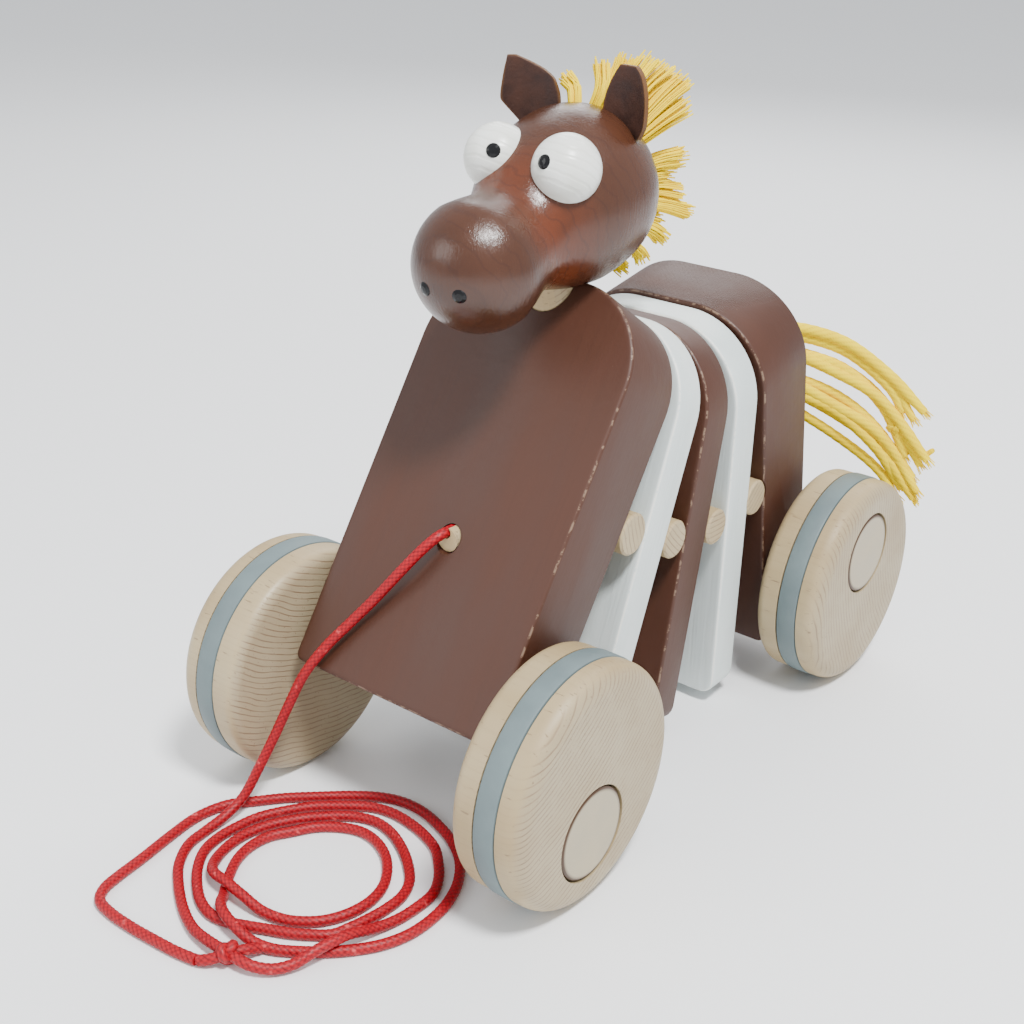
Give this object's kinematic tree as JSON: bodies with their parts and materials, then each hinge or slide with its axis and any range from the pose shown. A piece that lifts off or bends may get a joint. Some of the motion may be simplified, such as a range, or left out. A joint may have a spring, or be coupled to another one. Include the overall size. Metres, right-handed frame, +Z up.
{
  "type": "pull-along horse",
  "caption": "Wooden pull-along horse: painted boards that rock on cross pegs, a round head, eccentric wheels with rubber bands, yarn mane and tail, and a braided pull cord.",
  "frame": {"origin": "on the floor under the tyres, midway between the front of the front tyres and the back of the tail, on the plane midway between the wheels", "axes": "the horse faces -Y, its left side is +X, +Z is up"},
  "size_m": [0.1068, 0.2484, 0.1798],
  "materials": {
    "brown_paint": "semi-gloss dark brown paint on wood",
    "white_paint": "satin cool-white paint on wood",
    "beech": "clear satin on pale beech",
    "grey_rubber": "matt blue-grey rubber",
    "red_cord": "braided red cord",
    "yellow_yarn": "twisted yellow wool yarn",
    "black_gloss": "glossy black pin heads",
    "brown_leather": "dark brown leather"
  },
  "bodies": {
    "chest": {"chest_board": "brown_paint", "front_rocker_peg": "beech", "neck_dowel": "beech", "head": "brown_paint", "eye_left": "white_paint", "eye_right": "white_paint", "pupil_left": "black_gloss", "pupil_right": "black_gloss", "nostril_left": "black_gloss", "nostril_right": "black_gloss", "ear_left": "brown_leather", "ear_right": "brown_leather", "mane": "yellow_yarn", "cord_wedge": "beech", "cord_in_chest": "red_cord", "pull_cord": "red_cord", "end_knot": "red_cord"},
    "front_wheelset": {"front_axle": "beech", "front_wheel_left": "beech", "front_plug_left": "beech", "front_tyre_left": "grey_rubber", "front_wheel_right": "beech", "front_plug_right": "beech", "front_tyre_right": "grey_rubber"},
    "front_slat_body": {"front_slat": "white_paint", "second_rocker_peg": "beech", "cord_in_front_slat": "red_cord"},
    "middle_slat_body": {"middle_slat": "brown_paint", "third_rocker_peg": "beech", "cord_in_middle_slat": "red_cord"},
    "rear_slat_body": {"rear_slat": "white_paint", "rear_rocker_peg": "beech", "cord_in_rear_slat": "red_cord"},
    "rump": {"rump_board": "brown_paint", "cord_in_rump": "red_cord", "stop_knot": "red_cord", "tail": "yellow_yarn"},
    "rear_wheelset": {"rear_axle": "beech", "rear_wheel_left": "beech", "rear_plug_left": "beech", "rear_tyre_left": "grey_rubber", "rear_wheel_right": "beech", "rear_plug_right": "beech", "rear_tyre_right": "grey_rubber"}
  },
  "joints": [
    {"name": "front_rocker", "type": "hinge", "parent": "chest", "child": "front_slat_body", "pos_m": [0, -0.02764, 0.071], "axis": [-1, 0, 0], "range_deg": [0, 16.5]},
    {"name": "second_rocker", "type": "hinge", "parent": "front_slat_body", "child": "middle_slat_body", "pos_m": [0, -0.00771, 0.0624], "axis": [-1, 0, 0], "range_deg": [0, 16.5]},
    {"name": "third_rocker", "type": "hinge", "parent": "middle_slat_body", "child": "rear_slat_body", "pos_m": [0, 0.01318, 0.0585], "axis": [-1, 0, 0], "range_deg": [0, 16.5]},
    {"name": "rear_rocker", "type": "hinge", "parent": "rear_slat_body", "child": "rump", "pos_m": [0, 0.03371, 0.0601], "axis": [-1, 0, 0], "range_deg": [0, 16.5]},
    {"name": "front_axle_turn", "type": "hinge", "parent": "chest", "child": "front_wheelset", "pos_m": [0, -0.06749, 0.04], "axis": [1, 0, 0], "continuous": true},
    {"name": "rear_axle_turn", "type": "hinge", "parent": "rump", "child": "rear_wheelset", "pos_m": [0, 0.06202, 0.01961], "axis": [1, 0, 0], "continuous": true}
  ]
}
